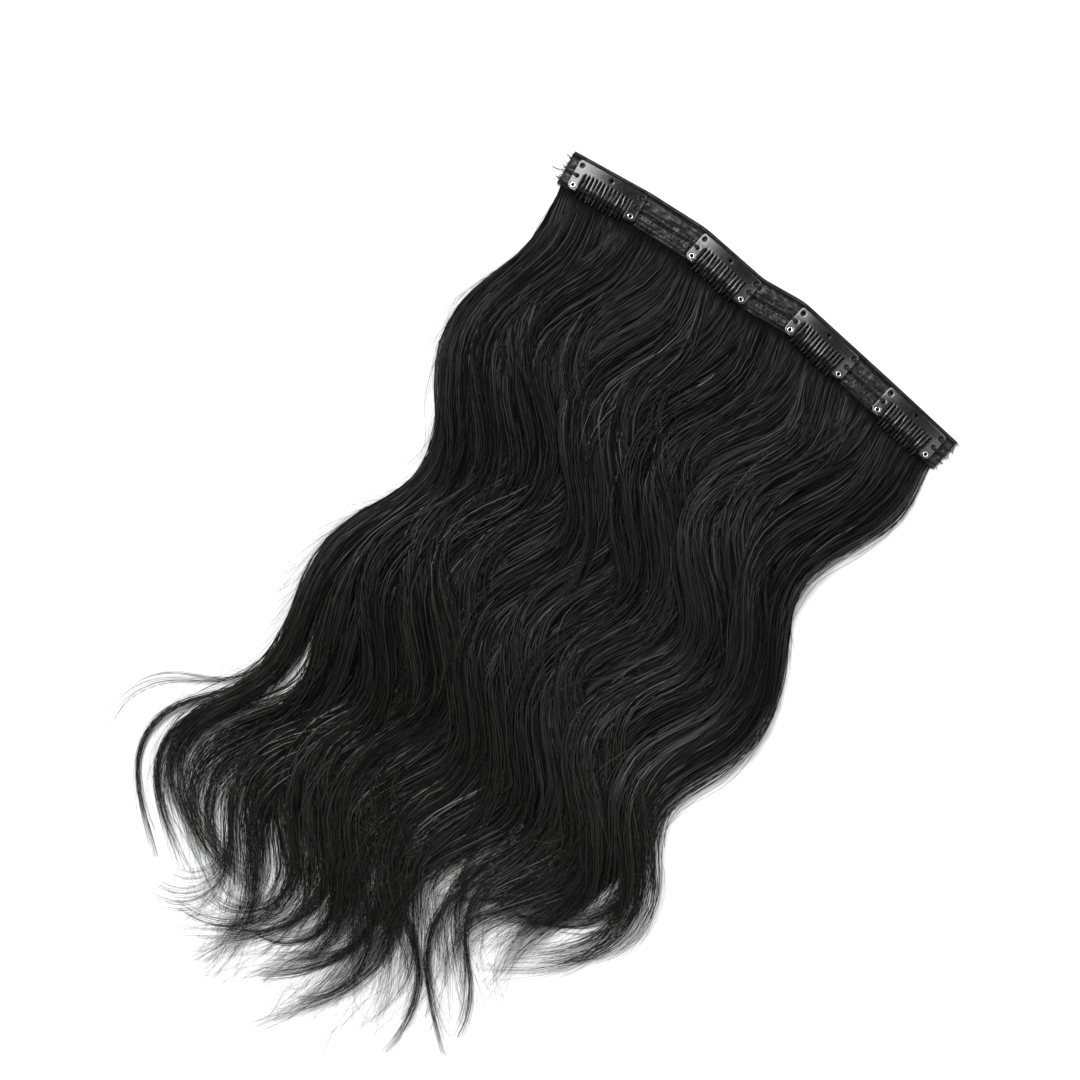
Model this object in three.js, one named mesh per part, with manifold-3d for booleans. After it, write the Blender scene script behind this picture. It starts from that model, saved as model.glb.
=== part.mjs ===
// Clip-in hair weft: a sewn band that carries snap comb clips, with wavy hair falling from its lower edge.
// Millimetres, +Z up. It lies flat with the clips on top: X runs along the band, the hair falls towards -Y.
// The origin is the middle of the band's flat underside.

import * as THREE from 'three';
import { mergeVertices } from 'three/addons/utils/BufferGeometryUtils.js';
import Module from 'manifold-3d';

const wasm = await Module();
wasm.setup();

// Clearance between pieces that touch on the real weft
const GAP = 0.3;

// Band: a flat tape with a rolled welt along its top edge and a thinner lip along its lower edge
const BAND = {
  height: 15.4, thick: 2.2, weltHigh: 2.9, weltWide: 1.35, lipHigh: 1.6, lipWide: 0.9, round: 0.3,
};
// Length over which the band turns from one run to the next, and the spacing of its sections
const BAND_BEND = 6;
const BAND_STEP = 6;

// Runs of the band from its left end: length, heading in degrees from +X, and the clip sewn to it
const BAND_RUNS = [
  { length: 3.5, heading: 9.5 },
  { length: 32, heading: 9.5, clip: 'clip_1' },
  { length: 26.7, heading: 6 },
  { length: 32, heading: -3, clip: 'clip_2' },
  { length: 19.4, heading: 9 },
  { length: 32, heading: -4, clip: 'clip_3' },
  { length: 17.2, heading: -4 },
  { length: 32, heading: -4.5, clip: 'clip_4' },
  { length: 4, heading: -4.5 },
];

// Comb plate of a clip: depths are measured down from its top edge, and it bows up in the middle
const COMB = {
  length: 32, sheet: 0.5, legWidth: 4.9, topBelowBandEdge: 1.7, corner: 0.45, cornerRun: 1.4,
  slotDepth: 4.9, bendDepth: 10.2, kneeDepth: 12.4, tipDepth: 15.4, legDepth: 13.3,
  teeth: 12, toothWidth: 1.0, tipWidth: 0.7, bow: 1.2, kneeDrop: 0.25, tipLift: 0.55,
};
const RIVET_SPACING = 27.2;
const RIVET_DEPTH = 11.4;

// Holes in the comb plate: distance from its middle, depth below its top edge and radius
const COMB_HOLES = [
  { out: 0, depth: 2.4, radius: 0.8 },
  { out: 13.9, depth: 2.5, radius: 0.85 },
  { out: 13.9, depth: 7, radius: 0.75 },
  { out: RIVET_SPACING / 2, depth: RIVET_DEPTH, radius: 1.2 },
];
const HOLE_SIDES = 8;

// Bar that joins the two legs under the teeth, and the eyelet rivets that hold it
const BAR = { width: 1.6, sheet: 0.5, eyeRadius: 1.9, holeRadius: 1.2, lift: 0.75, arcSegments: 3 };
const RIVET = {
  bore: 0.55, shank: 0.9, flange: 1.45, foot: 1.3, rim: 0.35, edge: 0.15, shoulder: 1.2, sides: 8,
};
const RIVET_PLAY = 0.4;

// Hair: each lock leaves the band, waves from side to side and up and down, and tapers to a tip. The wave
// grows in over easeIn and loses the share calm of its swing near the tip. It lifts the lock by the share
// lift, and its rise and fall come liftTurn degrees after its swing from side to side
const WAVE = {
  length: 116, firstBend: 38, easeIn: 14, calmFrom: 0.78, calm: 0.75, lift: 0.22, liftFrom: 20, liftTo: 60,
  liftTurn: 60,
};
// Shares of a lock's length between which its lean and its flick come in
const LEAN = { from: 0.3, to: 0.75 };
const FLICK = { from: 0.72, to: 1 };
// Width of a lock's tip as a share of its full width
const TIP_WIDTH = 0.3;
// Sections along a lock and steps of a section's round top: a flatness under 1 makes the top flatter
const LOCK_STATIONS = 24;
const LOCK_ARC_STEPS = 4;
const LOCK_FLATNESS = 0.6;
// A lock starts this far inside the band and reaches this far under the surface before it is trimmed
const ROOT_OVERRUN = 6;
const LOCK_SINK = 2;
// Step of the sums that work out the band's centre line and the locks' paths
const PATH_STEP = 2;

// Height of the hair above the surface, by share of a lock's length
const HAIR_HEIGHT = [
  { at: 0, height: 1.8 },
  { at: 0.02, height: 2.9 },
  { at: 0.08, height: 5.2 },
  { at: 0.22, height: 8.6 },
  { at: 0.5, height: 10.5 },
  { at: 0.8, height: 8 },
  { at: 1, height: 1.6 },
];

// Locks from left to right: place along the band, length along the wave, lag of the wave, swing of the wave
// in degrees, mean heading in degrees from -Y towards +X, lean and flick added further down, width, and
// the share of its length where it starts to thin
const LOCKS = [
  { at: 0.018, reach: 345, lag: 6, swing: 27, turn: 13, lean: -24, flick: 62, width: 10, thins: 0.45 },
  { at: 0.045, reach: 370, lag: 8, swing: 31, turn: 15, lean: -21, flick: 66, width: 16, thins: 0.6 },
  { at: 0.085, reach: 374, lag: 2, swing: 31, turn: 15, lean: -10, flick: 24, width: 19, thins: 0.76 },
  { at: 0.135, reach: 378, lag: -3, swing: 33, turn: 15, lean: -5, flick: 8, width: 22, thins: 0.8 },
  { at: 0.2, reach: 374, lag: -6, swing: 35, turn: 14, lean: -1, flick: 12, width: 23, thins: 0.8 },
  { at: 0.28, reach: 384, lag: -6, swing: 35, turn: 13, lean: -2, flick: 14, width: 24, thins: 0.78 },
  { at: 0.365, reach: 368, lag: -3, swing: 32, turn: 13, lean: -2, flick: 3, width: 24, thins: 0.76 },
  { at: 0.45, reach: 362, lag: 2, swing: 32, turn: 13, lean: 1, flick: 10, width: 24, thins: 0.74 },
  { at: 0.535, reach: 350, lag: 6, swing: 31, turn: 12, lean: 1, flick: 10, width: 24, thins: 0.76 },
  { at: 0.62, reach: 338, lag: 9, swing: 34, turn: 11, lean: 1, flick: 14, width: 24, thins: 0.78 },
  { at: 0.705, reach: 322, lag: 9, swing: 36, turn: 10, lean: 0, flick: 12, width: 24, thins: 0.8 },
  { at: 0.79, reach: 306, lag: 8, swing: 33, turn: 8, lean: 0, flick: -10, width: 23, thins: 0.8 },
  { at: 0.875, reach: 300, lag: 8, swing: 32, turn: 6, lean: 2, flick: -14, width: 20, thins: 0.78 },
  { at: 0.955, reach: 270, lag: 8, swing: 30, turn: 4, lean: 4, flick: 0, width: 16, thins: 0.72 },
];

// Blocks that trim the hair's roots and underside
const TRIM = { beyond: 25, above: 40, below: 10, behind: 25, floorSize: 900 };

const MATERIALS = {
  hair: new THREE.MeshStandardMaterial({ color: 0x0c0b0b, roughness: 0.42, metalness: 0 }),
  band: new THREE.MeshStandardMaterial({ color: 0x131313, roughness: 0.6, metalness: 0 }),
  clip: new THREE.MeshStandardMaterial({ color: 0x171717, roughness: 0.3, metalness: 0.3 }),
  rivet: new THREE.MeshStandardMaterial({ color: 0xc9c9c6, roughness: 0.22, metalness: 1 }),
};

const { degToRad, lerp, smoothstep } = THREE.MathUtils;

// Geometry and solids

function geometryFrom(positions, triangles) {
  const geometry = new THREE.BufferGeometry();
  geometry.setAttribute('position', new THREE.Float32BufferAttribute(positions, 3));
  geometry.setIndex(triangles);
  geometry.computeVertexNormals();
  return geometry;
}

function toSolid(geometry) {
  const bare = geometry.clone();
  bare.deleteAttribute('normal');
  bare.deleteAttribute('uv');
  const merged = mergeVertices(bare);
  const vertProperties = new Float32Array(merged.attributes.position.array);
  const triVerts = new Uint32Array(merged.index.array);
  return new wasm.Manifold(new wasm.Mesh({ numProp: 3, vertProperties, triVerts }));
}

function fromSolid(solid) {
  const { vertProperties, triVerts } = solid.getMesh();
  return geometryFrom(Array.from(vertProperties), Array.from(triVerts));
}

// Closed skin through rings of points: each ring is the same section polygon, carried on along the path
function loft(rings, section) {
  const count = section.length;
  const caps = THREE.ShapeUtils.triangulateShape(section, []);
  const last = (rings.length - 1) * count;
  const triangles = [];
  for (const [a, b, c] of caps) triangles.push(c, b, a, last + a, last + b, last + c);
  for (let row = 0; row < rings.length - 1; row++) {
    for (let i = 0; i < count; i++) {
      const a = row * count + i;
      const b = row * count + (i + 1) % count;
      triangles.push(a, b, b + count, a, b + count, a + count);
    }
  }
  return geometryFrom(rings.flat().flatMap((p) => [p.x, p.y, p.z]), triangles);
}

// Band centre line

const bandLength = BAND_RUNS.reduce((sum, run) => sum + run.length, 0);

// Heading at a distance from the left end, averaged over the bend length, so that the band turns smoothly
function bandHeading(distance) {
  const low = Math.min(Math.max(distance - BAND_BEND / 2, 0), bandLength - BAND_BEND);
  let start = 0;
  let turned = 0;
  for (const run of BAND_RUNS) {
    const shared = Math.min(low + BAND_BEND, start + run.length) - Math.max(low, start);
    turned += Math.max(shared, 0) * run.heading;
    start += run.length;
  }
  return degToRad(turned / BAND_BEND);
}

// Straight-line sum of a heading over a distance, in small steps: forward is the direction of heading 0
function walk(from, to, headingAt, forward) {
  const steps = Math.max(1, Math.ceil(Math.abs(to - from) / PATH_STEP));
  const step = (to - from) / steps;
  const sum = new THREE.Vector2();
  for (let i = 0; i < steps; i++) {
    const heading = headingAt(from + (i + 0.5) * step);
    sum.addScaledVector(forward.clone().rotateAround(new THREE.Vector2(), heading), step);
  }
  return sum;
}

// Point on the band at a distance from its left end, and below its centre line towards the hair
function bandPoint(distance, below) {
  const heading = bandHeading(distance);
  const centre = walk(bandLength / 2, distance, bandHeading, new THREE.Vector2(1, 0));
  return new THREE.Vector2(centre.x + Math.sin(heading) * below, centre.y - Math.cos(heading) * below);
}

// Skin of a section, given as (above, z) points anticlockwise, carried along the band between two distances
function alongBand(section, from, to) {
  const stations = Math.ceil((to - from) / BAND_STEP);
  const rings = [];
  for (let i = 0; i <= stations; i++) {
    const distance = lerp(from, to, i / stations);
    rings.push(section.map((p) => {
      const spot = bandPoint(distance, -p.x);
      return new THREE.Vector3(spot.x, spot.y, p.y);
    }));
  }
  return loft(rings, section);
}

function bandGeometry() {
  const half = BAND.height / 2;
  const section = [
    [half, 0], [half, BAND.weltHigh - BAND.round], [half - BAND.round, BAND.weltHigh],
    [half - BAND.weltWide + BAND.round, BAND.weltHigh], [half - BAND.weltWide, BAND.thick],
    [BAND.lipWide - half, BAND.thick], [-half, BAND.lipHigh], [-half, 0],
  ].map(([above, z]) => new THREE.Vector2(above, z));
  return alongBand(section, 0, bandLength);
}

// Clip: all heights are above the band's face, with y = 0 on the band's centre line

const combTop = BAND.height / 2 - COMB.topBelowBandEdge;
const barTop = BAR.lift + BAR.sheet;
const combAtRivet = barTop + RIVET_PLAY;
const bowAt = (x) => COMB.bow * (1 - (2 * x / COMB.length) ** 2);
const combRise = combAtRivet - GAP - bowAt(RIVET_SPACING / 2);
const combHeight = (x, depth) => GAP + combRise * depth / RIVET_DEPTH + bowAt(x);

// Height of a tooth: it bends over the bar at the knee, and its tip comes down to the band
function toothHeight(x, depth) {
  if (depth >= COMB.tipDepth) return COMB.tipLift;
  if (depth > COMB.bendDepth) return combHeight(x, COMB.bendDepth) - COMB.kneeDrop;
  return combHeight(x, depth);
}

// Sheet of metal made of four-cornered cells that share their corners, closed by walls round its outline
function sheetFromCells(cells, thick) {
  const places = new Map();
  const corners = [];
  const cornerOf = (p) => {
    const key = p.map((value) => value.toFixed(3)).join(' ');
    if (!places.has(key)) {
      places.set(key, corners.length);
      corners.push(p);
    }
    return places.get(key);
  };
  const quads = cells.map((cell) => cell.map(cornerOf));
  const edges = new Set(quads.flatMap((q) => q.map((a, i) => `${a} ${q[(i + 1) % q.length]}`)));
  const top = corners.length;
  const triangles = [];
  for (const [a, b, c, d] of quads) {
    triangles.push(a, c, b, a, d, c);
    triangles.push(top + a, top + b, top + c, top + a, top + c, top + d);
  }
  for (const edge of edges) {
    const [a, b] = edge.split(' ').map(Number);
    if (!edges.has(`${b} ${a}`)) triangles.push(a, b, top + b, a, top + b, top + a);
  }
  const lower = corners.flatMap(([x, y, z]) => [x, y, z]);
  const upper = corners.flatMap(([x, y, z]) => [x, y, z + thick]);
  return geometryFrom([...lower, ...upper], triangles);
}

// Four corners, anticlockwise seen from above, of a cell between two sides and two depths
function cell(left, right, shallow, deep, height, ease = () => [0, 0]) {
  const corner = (x, depth) => {
    const [inward, up] = ease(x, depth);
    return [x - Math.sign(x) * inward, combTop - depth + up, height(x, depth)];
  };
  return [corner(left, deep), corner(right, deep), corner(right, shallow), corner(left, shallow)];
}

function combCells() {
  const half = COMB.length / 2;
  const inner = half - COMB.legWidth;
  const slotWidth = (2 * inner - COMB.teeth * COMB.toothWidth) / (COMB.teeth + 1);
  const cells = [];
  // Outer corners of the plate are eased inwards
  const ease = (x, depth) => {
    if (Math.abs(x) !== half) return [0, 0];
    if (depth === 0) return [COMB.corner, -COMB.corner];
    return depth === COMB.legDepth ? [COMB.corner, COMB.corner] : [0, 0];
  };
  const sides = [[-half, COMB.cornerRun - half], [COMB.cornerRun - half, -inner],
    [inner, half - COMB.cornerRun], [half - COMB.cornerRun, half]];
  const legDepths = [0, COMB.slotDepth, COMB.bendDepth, COMB.legDepth];
  for (const [left, right] of sides) {
    for (let i = 0; i + 1 < legDepths.length; i++) {
      cells.push(cell(left, right, legDepths[i], legDepths[i + 1], combHeight, ease));
    }
  }
  for (let i = 0; i <= COMB.teeth; i++) {
    const slot = -inner + i * (slotWidth + COMB.toothWidth);
    const tooth = slot + slotWidth;
    cells.push(cell(slot, tooth, 0, COMB.slotDepth, combHeight));
    if (i === COMB.teeth) break;
    const end = tooth + COMB.toothWidth;
    const middle = (tooth + end) / 2;
    // Tooth tips are narrower than their roots
    const point = (x, depth) => {
      const inward = (COMB.toothWidth - COMB.tipWidth) / 2;
      return depth === COMB.tipDepth ? [inward * Math.sign(x - middle) * Math.sign(x), 0] : [0, 0];
    };
    cells.push(cell(tooth, end, 0, COMB.slotDepth, combHeight));
    cells.push(cell(tooth, end, COMB.slotDepth, COMB.bendDepth, toothHeight));
    cells.push(cell(tooth, end, COMB.bendDepth, COMB.kneeDepth, toothHeight));
    cells.push(cell(tooth, end, COMB.kneeDepth, COMB.tipDepth, toothHeight, point));
  }
  return cells;
}

function combGeometry() {
  let plate = toSolid(sheetFromCells(combCells(), COMB.sheet));
  for (const { out, depth, radius } of COMB_HOLES) {
    for (const x of out === 0 ? [0] : [-out, out]) {
      const drill = new THREE.CylinderGeometry(radius, radius, COMB.length, HOLE_SIDES);
      drill.rotateX(Math.PI / 2).translate(x, combTop - depth, 0);
      plate = plate.subtract(toSolid(drill));
    }
  }
  return fromSolid(plate);
}

// Flat bar with a round eye at each rivet
function barGeometry() {
  const eye = RIVET_SPACING / 2;
  const neck = Math.asin(BAR.width / 2 / BAR.eyeRadius);
  const outline = new THREE.Shape();
  outline.absarc(eye, 0, BAR.eyeRadius, neck - Math.PI, Math.PI - neck, false);
  outline.absarc(-eye, 0, BAR.eyeRadius, neck, 2 * Math.PI - neck, false);
  for (const x of [-eye, eye]) {
    outline.holes.push(new THREE.Path().absarc(x, 0, BAR.holeRadius, 0, 2 * Math.PI, true));
  }
  const options = { depth: BAR.sheet, bevelEnabled: false, curveSegments: BAR.arcSegments };
  return new THREE.ExtrudeGeometry(outline, options).translate(0, combTop - RIVET_DEPTH, BAR.lift);
}

// Hollow eyelet: a foot under the bar, a shank through both holes and a rolled flange on the comb plate
function rivetGeometry() {
  const foot = GAP;
  const under = combAtRivet + COMB.sheet + RIVET_PLAY;
  const head = under + RIVET.rim;
  const profile = [
    [RIVET.bore, foot], [RIVET.foot, foot], [RIVET.foot, foot + GAP], [RIVET.shank, foot + GAP],
    [RIVET.shank, under], [RIVET.flange, under], [RIVET.flange, head - RIVET.edge], [RIVET.shoulder, head],
    [RIVET.bore, head], [RIVET.bore, foot],
  ].map(([radius, height]) => new THREE.Vector2(radius, height));
  return new THREE.LatheGeometry(profile, RIVET.sides).rotateX(Math.PI / 2);
}

function clipGroup(name, centre, heading) {
  const group = new THREE.Group();
  group.position.set(centre.x, centre.y, BAND.thick);
  group.rotation.z = heading;
  group.add(part(`${name}_comb`, combGeometry(), MATERIALS.clip));
  group.add(part(`${name}_bar`, barGeometry(), MATERIALS.clip));
  for (const [side, sign] of [['left', -1], ['right', 1]]) {
    const rivet = part(`${name}_rivet_${side}`, rivetGeometry(), MATERIALS.rivet);
    rivet.position.set(sign * RIVET_SPACING / 2, combTop - RIVET_DEPTH, 0);
    group.add(rivet);
  }
  return group;
}

// Hair

// Phase of a lock's wave at a run from the band
const wavePhase = (lock, run) => 2 * Math.PI * (run - WAVE.firstBend - lock.lag) / WAVE.length;

// Heading of a lock at a run from the band, in radians from -Y towards +X
function lockHeading(lock, run) {
  const share = run / lock.reach;
  const grow = 1 - Math.exp(-Math.max(run, 0) / WAVE.easeIn);
  const calm = 1 - WAVE.calm * smoothstep(share, WAVE.calmFrom, 1);
  const swing = lock.swing * Math.cos(wavePhase(lock, run)) * grow * calm;
  const lean = lock.lean * smoothstep(share, LEAN.from, LEAN.to);
  const flick = lock.flick * smoothstep(share, FLICK.from, FLICK.to);
  return degToRad(lock.turn - swing + lean + flick);
}

// Height of a lock at a run from the band: the table's height, raised and lowered by the wave
function lockHeight(lock, run) {
  const share = Math.min(Math.max(run / lock.reach, 0), 1);
  const next = Math.max(1, HAIR_HEIGHT.findIndex((row) => row.at >= share));
  const [a, b] = [HAIR_HEIGHT[next - 1], HAIR_HEIGHT[next]];
  const height = lerp(a.height, b.height, (share - a.at) / (b.at - a.at));
  const lift = WAVE.lift * smoothstep(run, WAVE.liftFrom, WAVE.liftTo);
  return height * (1 + lift * Math.sin(wavePhase(lock, run) - degToRad(WAVE.liftTurn)));
}

// One lock: a flat-bottomed, round-topped section carried along its waving path
function lockGeometry(lock) {
  const section = [new THREE.Vector2(-1, -1), new THREE.Vector2(1, -1)];
  for (let i = 0; i <= LOCK_ARC_STEPS; i++) {
    const angle = Math.PI * i / LOCK_ARC_STEPS;
    section.push(new THREE.Vector2(Math.cos(angle), Math.max(Math.sin(angle), 0) ** LOCK_FLATNESS));
  }
  const root = bandPoint(lock.at * bandLength, BAND.height / 2);
  const down = new THREE.Vector2(0, -1);
  const rings = [];
  for (let i = 0; i <= LOCK_STATIONS; i++) {
    const run = lerp(-ROOT_OVERRUN, lock.reach, i / LOCK_STATIONS);
    const heading = lockHeading(lock, run);
    const spot = walk(0, run, (at) => lockHeading(lock, at), down).add(root);
    const taper = 1 - (1 - TIP_WIDTH) * smoothstep(run / lock.reach, lock.thins, 1);
    const half = lock.width / 2 * taper;
    const height = lockHeight(lock, run);
    rings.push(section.map((p) => new THREE.Vector3(
      spot.x + p.x * half * Math.cos(heading),
      spot.y + p.x * half * Math.sin(heading),
      p.y < 0 ? -LOCK_SINK : p.y * height,
    )));
  }
  return loft(rings, section);
}

// Block over the band and everything behind it, a clearance short of the hair
function rootTrim() {
  const low = -BAND.height / 2 - GAP;
  const section = [
    [low, -TRIM.below], [TRIM.behind, -TRIM.below], [TRIM.behind, TRIM.above], [low, TRIM.above],
  ].map(([above, z]) => new THREE.Vector2(above, z));
  return alongBand(section, -TRIM.beyond, bandLength + TRIM.beyond);
}

function floorTrim() {
  const block = new THREE.BoxGeometry(TRIM.floorSize, TRIM.floorSize, TRIM.below);
  return block.translate(0, -TRIM.floorSize / 2, -TRIM.below / 2);
}

function hairGeometry() {
  const solids = LOCKS.map((lock) => toSolid(lockGeometry(lock)));
  const joined = solids.reduce((all, lock) => all.add(lock));
  return fromSolid(joined.subtract(toSolid(rootTrim())).subtract(toSolid(floorTrim())));
}

// Assembly

function part(name, geometry, material) {
  const mesh = new THREE.Mesh(geometry, material);
  mesh.name = name;
  return mesh;
}

const weft = new THREE.Group();
weft.add(part('band', bandGeometry(), MATERIALS.band));
weft.add(part('hair', hairGeometry(), MATERIALS.hair));
let runStart = 0;
for (const { length, heading, clip } of BAND_RUNS) {
  if (clip) weft.add(clipGroup(clip, bandPoint(runStart + length / 2, 0), degToRad(heading)));
  runStart += length;
}

export default weft;
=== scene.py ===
"""Looks of a clip-in hair weft: its strands, sewn band and snap comb clips, with a plain studio.

Lengths here are millimetres in the part's own frame: X along the band, hair towards -Y, Z up. add_mesh
turns them into metres.
"""

import math
from types import SimpleNamespace as Values

import bpy
import numpy as np
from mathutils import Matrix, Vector
from mathutils.geometry import delaunay_2d_cdt


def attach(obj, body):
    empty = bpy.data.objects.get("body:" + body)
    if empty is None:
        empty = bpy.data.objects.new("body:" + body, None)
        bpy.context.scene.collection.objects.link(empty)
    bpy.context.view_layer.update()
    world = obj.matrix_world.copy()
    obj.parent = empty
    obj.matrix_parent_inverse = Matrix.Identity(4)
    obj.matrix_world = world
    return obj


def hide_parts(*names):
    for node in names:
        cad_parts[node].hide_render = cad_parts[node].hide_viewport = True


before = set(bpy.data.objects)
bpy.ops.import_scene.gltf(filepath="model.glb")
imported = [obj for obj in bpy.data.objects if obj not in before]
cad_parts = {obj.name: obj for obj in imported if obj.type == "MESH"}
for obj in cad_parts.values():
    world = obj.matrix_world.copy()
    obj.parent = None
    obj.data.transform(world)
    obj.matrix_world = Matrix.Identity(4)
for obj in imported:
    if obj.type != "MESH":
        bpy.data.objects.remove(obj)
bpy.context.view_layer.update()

MM = 0.001
rng = np.random.default_rng(7614)

# Band: its size, and its runs from the left end with length and heading in degrees from +X
BAND_HEIGHT = 15.4
BAND_BEND = 6.0
BAND_RUNS = [
    (3.5, 9.5), (32, 9.5), (26.7, 6), (32, -3), (19.4, 9), (32, -4), (17.2, -4), (32, -4.5), (4, -4.5),
]
BAND_LENGTH = sum(length for length, _ in BAND_RUNS)
CLIP_RUNS = (1, 3, 5, 7)
BAND_FACE = 2.2

# Band across: distance below the centre line and height of its top, from the top edge to the hair
BAND_PROFILE = [
    (-7.7, 1.2), (-7.6, 2.3), (-7.3, 2.6), (-6.8, 2.7), (-6.3, 2.62), (-5.95, 2.3), (-5.65, 1.7), (-5.2, 1.9),
    (-3.5, 2.05), (-1, 2.0), (0.6, 1.9), (1.0, 1.65), (1.3, 1.45), (1.7, 1.7), (3, 1.9), (5, 1.85), (6, 1.75),
    (6.4, 1.55), (6.8, 1.7), (7.2, 1.85), (7.55, 1.6), (7.7, 0.7),
]
BAND_ACROSS, BAND_TOP = zip(*BAND_PROFILE)
BAND_UNDERSIDE = (7.4, 0, -7.4)
BAND_LEAST = 0.5
BAND_STATIONS = 430
BAND_STEP = 0.33
# Notches of the cut ends
RAGGED = Values(depth=0.5, size=1.5, fade=2)
# Padded panels, the wobbling seam between them, and the puckers of the cloth
PANELS = [(-5.65, 1.3), (1.3, 6.4)]
SEAM = Values(below=1.3, wobble=0.35, size=5, strength=1.4, reach=4)
PUCKER = Values(height=0.24, padding=0.1, power=0.6, across=1.7, coarse=3.2, fine=1.5, fine_share=0.6)
EDGE = Values(out=7, reach=0.7, height=0.16)

# Rows of stitches by distance below the centre line, with the depth of their needle holes as pit, then the
# size of a hole and the share of stitches that show
STITCH_COLUMNS = ("below", "pitch", "length", "slant", "thick", "pit")
STITCH_ROWS = [
    (-5.6, 1.7, 1.0, 0.0, 0.3, 0.35),
    (-0.6, 2.5, 1.2, 0.5, 0.42, 0.6),
    (1.3, 2.3, 1.7, 0.0, 0.4, 0.5),
    (3.1, 2.6, 1.6, 0.7, 0.46, 0.45),
    (4.8, 2.4, 1.5, -0.6, 0.46, 0.45),
    (6.45, 2.0, 1.4, 0.0, 0.42, 0.4),
]
PIT_SIZE = 0.36
STITCH_KEPT = 0.78
STITCH_MARGIN = 2.2
STITCH_UNEVEN = Values(start=0.14, below=0.2, thick=(0.65, 1.15))
# A stitch from hole to hole
STITCH_ARCH = Values(stations=6, dip=0.25, rise=0.5, power=0.6, thin=0.65)

# Frayed threads at the cut ends, with their random values in the order of the draws, and longer loose ends of
# sewing thread: place below the centre line, length and bend
FRAYS = 60
FRAY_DRAWS = dict(
    below=(-7, 6.8), length=(1.0, 1.6), longer=(0, 1), bend=0.8, wave=0.25, height=(0.4, 1.7), rise=0.5,
    radius=(0.1, 0.18),
)
FRAY = Values(stations=9, inset=0.4, root=0.7, longest=2.4, waves=4, least=0.2, taper=0.45)
LOOSE_ENDS = [(1.4, 6.5, 1.2), (-4.2, 3.6, -1.0)]
LOOSE_END = Values(inset=1, bends=2.4, top=2.2, fall=1.9, falls=(0.2, 0.7), radius=0.17)

# Comb plate of a clip: depths are measured down from its top edge, and it bows up in the middle
COMB = Values(
    half=16, sheet=0.5, top=6.0, inner=11.1, slot_depth=4.9, bend=10.2, knee=12.4, tip=15.4, leg=13.3,
    teeth=12, tooth=0.9, tip_width=0.7, bow=1.2, lift=0.3, strip=4.3, strip_lift=0.45, rivet_lift=1.317,
    knee_drop=0.25, tip_lift=0.55,
)
COMB_SLOT = (2 * COMB.inner - COMB.teeth * COMB.tooth) / (COMB.teeth + 1)
COMB_PITCH = COMB_SLOT + COMB.tooth
# Unevenness of the teeth: sideways at the tip, in length, and twist as rise across a tooth
TOOTH_SPREAD = dict(aside=0.3, length=0.28, twist=0.3)
# Corners of the plate, and the mesh of its edges, holes and inside
COMB_ROUND = Values(outer=2.4, inner=0.6, top=1.5)
EDGE_ROUND = 0.12
EDGE_SOFT = EDGE_ROUND * 0.29
EDGE_STEP = 0.62
HOLE_STEPS = 22
COMB_GRID = Values(step=0.8, half=15.4, depth=12.8, clear=0.45)
# Holes of the plate: distance from its middle, depth and radius
PLAIN_HOLES = [(0, 2.4, 0.8), (-13.9, 2.5, 0.85)]
SEWING_HOLES = [(13.9, 2.5, 0.85), (-13.9, 7, 0.75), (13.9, 7, 0.75)]
RIVET_OUT, RIVET_DEPTH, RIVET_HOLE = 13.6, 11.4, 1.2
LEG_RISE = (COMB.rivet_lift - COMB.strip_lift) / (RIVET_DEPTH - COMB.strip)
BAR = Values(width=1.6, eye=1.9, lift=0.75, sheet=0.5, step=1.2)
# Rolled eyelet from its bore to its foot: radius and height above the plate
RIVET_PROFILE = [
    (0.62, -1.8), (0.62, 0.05), (0.66, 0.25), (0.76, 0.4), (0.92, 0.47), (1.08, 0.45), (1.24, 0.34),
    (1.34, 0.2), (1.38, 0.06), (1.3, 0.02), (0.9, 0.02), (0.9, -1.55), (1.25, -1.6), (1.3, -1.7),
    (1.25, -1.8),
]
RIVET_SEGMENTS = 28
# Threads that fan out from each sewn hole: where they start in it, leave the plate's edge and land past it
CLIP_THREAD = Values(
    strands=5, apart=0.25, fan=(0.9, 1.2), uneven=0.05, start=(0.3, 0.6), edge=0.75, past=0.9,
    land=(-0.1, 0.4), radius=0.14, stations=15,
)

# Wave of the hair, lean, flick and curl of its ends by share of the length, and how a lock widens and thins
WAVE = Values(
    length=116, first_bend=38, ease_in=14, calm_from=0.78, calm=0.55, lift=0.32, lift_from=20, lift_to=60,
    lift_turn=math.radians(60),
)
TURNS = dict(lean=(0.3, 0.75), flick=(0.72, 1.0), curl=(0.8, 1.03))
TIP_CURLS = (25, 15, -35, -48, -48, -42, -30, -5, 4, -8, -42, -46, -60, -52)
WANDER = (0.35, 0.9)
LOWER_SPREAD = Values(more=0.2, over=(0.5, 0.8))
TIP = Values(width=0.8, at=1.05)
# Height of the hair above the surface by share of a lock's length, and how round a lock is across
HEIGHT_AT = [0, 0.012, 0.04, 0.09, 0.22, 0.5, 0.8, 1]
HEIGHT = [1.4, 2.5, 3.9, 5.5, 8.6, 10.5, 8, 1.6]
LOCK_ROUND = 0.45
LOCK_LEAST = 0.02

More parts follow.
